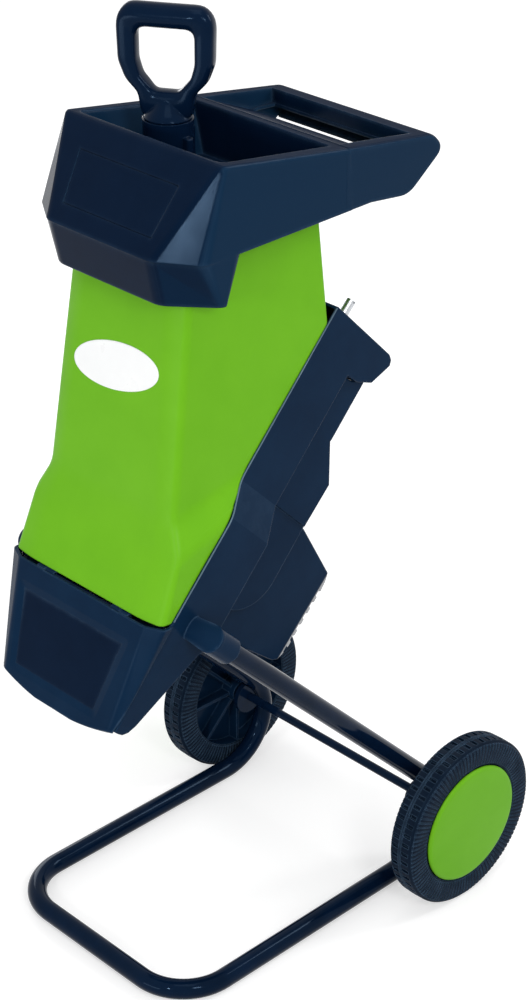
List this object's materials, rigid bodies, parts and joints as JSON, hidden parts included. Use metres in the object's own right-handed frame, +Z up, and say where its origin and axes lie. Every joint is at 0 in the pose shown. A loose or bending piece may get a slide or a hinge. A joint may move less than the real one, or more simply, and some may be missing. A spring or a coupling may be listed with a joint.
{
  "type": "garden shredder",
  "caption": "Wheeled garden shredder: feed hopper and hinged chute over an inclined cutting disc, push plunger, rear motor with switch panel, bent tube stand.",
  "frame": {"origin": "On the floor, midway between the two floor rails and straight under the axle.", "axes": "+X to the right seen from the front, +Y to the back where the carrying handle is, +Z up; the discharge faces -Y."},
  "size_m": [0.413, 0.51, 1.023],
  "materials": {
    "black_moulding": "fine-grained moulded plastic",
    "dark_moulding": "satin moulded plastic",
    "green_moulding": "smooth satin moulded plastic",
    "label_white": "smooth blank plate",
    "tube_paint": "semi-gloss powder coat",
    "tyre_rubber": "moulded rubber",
    "bright_steel": "zinc-plated",
    "tool_steel": "ground",
    "lamination": "stacked sheet",
    "winding": "varnished copper",
    "brass": "plain",
    "red_plastic": "smooth"
  },
  "bodies": {
    "chassis": {"frame_tube": "tube_paint", "axle": "bright_steel", "axle_tabs": "tube_paint", "axle_caps": "bright_steel", "axle_sleeves": "bright_steel", "blade_pan": "black_moulding", "nose_cover": "black_moulding", "hinge_rod": "bright_steel", "rear_cover": "black_moulding", "rear_cover_screws": "bright_steel", "motor_cover": "black_moulding", "motor_cover_screws": "bright_steel", "motor_can": "bright_steel", "stator_core": "lamination", "stator_coils": "winding", "rear_bracket": "bright_steel", "front_bearing": "bright_steel", "rear_bearing": "bright_steel", "brush_holders": "brass", "leg_bolts": "bright_steel", "switch_plate": "black_moulding", "switch_block": "black_moulding", "overload_breaker": "black_moulding", "power_inlet": "black_moulding", "inlet_pins": "bright_steel", "safety_switch": "black_moulding", "lock_nut": "bright_steel"},
    "upper": {"chute_body": "green_moulding", "hopper": "dark_moulding", "hopper_screws": "bright_steel", "label_plate": "label_white", "latch_fork": "bright_steel", "fork_screws": "bright_steel"},
    "plunger": {"plunger_grip": "dark_moulding", "plunger_stem": "dark_moulding"},
    "cutter": {"cutting_disc": "tool_steel", "blade_a": "tool_steel", "blade_b": "tool_steel", "blade_screws": "bright_steel", "disc_washer": "bright_steel", "disc_bolt": "bright_steel", "motor_shaft": "bright_steel", "rotor_core": "lamination", "commutator": "winding", "cooling_fan": "black_moulding"},
    "wheel_left": {"tyre_left": "tyre_rubber", "wheel_core_left": "black_moulding", "hubcap_left": "green_moulding"},
    "wheel_right": {"tyre_right": "tyre_rubber", "wheel_core_right": "black_moulding", "hubcap_right": "green_moulding"},
    "lock": {"lock_washer": "bright_steel"},
    "lock_turn": {"lock_screw": "bright_steel"},
    "start": {"start_button": "green_moulding"},
    "stop": {"stop_button": "red_plastic"},
    "reset": {"reset_button": "black_moulding"}
  },
  "joints": [
    {"name": "upper_tilt", "type": "hinge", "parent": "chassis", "child": "upper", "pos_m": [0, -0.36255, 0.4594], "axis": [1, 0, 0], "range_deg": [0, 60]},
    {"name": "plunger_slide", "type": "slide", "parent": "upper", "child": "plunger", "axis": [0, 0, 1], "range_m": [0, 0.3]},
    {"name": "cutter_spin", "type": "hinge", "parent": "chassis", "child": "cutter", "pos_m": [0, -0.2845, 0.5245], "axis": [0, 0.7071, -0.7071], "continuous": true},
    {"name": "wheel_left_spin", "type": "hinge", "parent": "chassis", "child": "wheel_left", "pos_m": [-0.17, 0, 0.1], "axis": [1, 0, 0], "continuous": true},
    {"name": "wheel_right_spin", "type": "hinge", "parent": "chassis", "child": "wheel_right", "pos_m": [0.2, 0, 0.1], "axis": [1, 0, 0], "continuous": true},
    {"name": "lock_travel", "type": "slide", "parent": "chassis", "child": "lock", "axis": [0, 0.7071, 0.7071], "range_m": [0, 0.006]},
    {"name": "lock_turn", "type": "hinge", "parent": "lock", "child": "lock_turn", "pos_m": [0.055, -0.07025, 0.6638], "axis": [0, 0.7071, 0.7071], "range_deg": [0, 1440]},
    {"name": "start_press", "type": "slide", "parent": "chassis", "child": "start", "axis": [0, -0.9999, 0.0141], "range_m": [0, 0.003], "stiffness_N_per_m": 250, "springref_m": -0.004},
    {"name": "stop_press", "type": "slide", "parent": "chassis", "child": "stop", "axis": [0, -0.9999, 0.0141], "range_m": [0, 0.003], "stiffness_N_per_m": 250, "springref_m": -0.004},
    {"name": "reset_press", "type": "slide", "parent": "chassis", "child": "reset", "axis": [0, -0.9999, 0.0141], "range_m": [0, 0.003], "stiffness_N_per_m": 250, "springref_m": -0.004}
  ],
  "couplings": [
    {"joint": "lock_turn", "follows": "lock_travel", "rad_per_m": 4188.8}
  ]
}
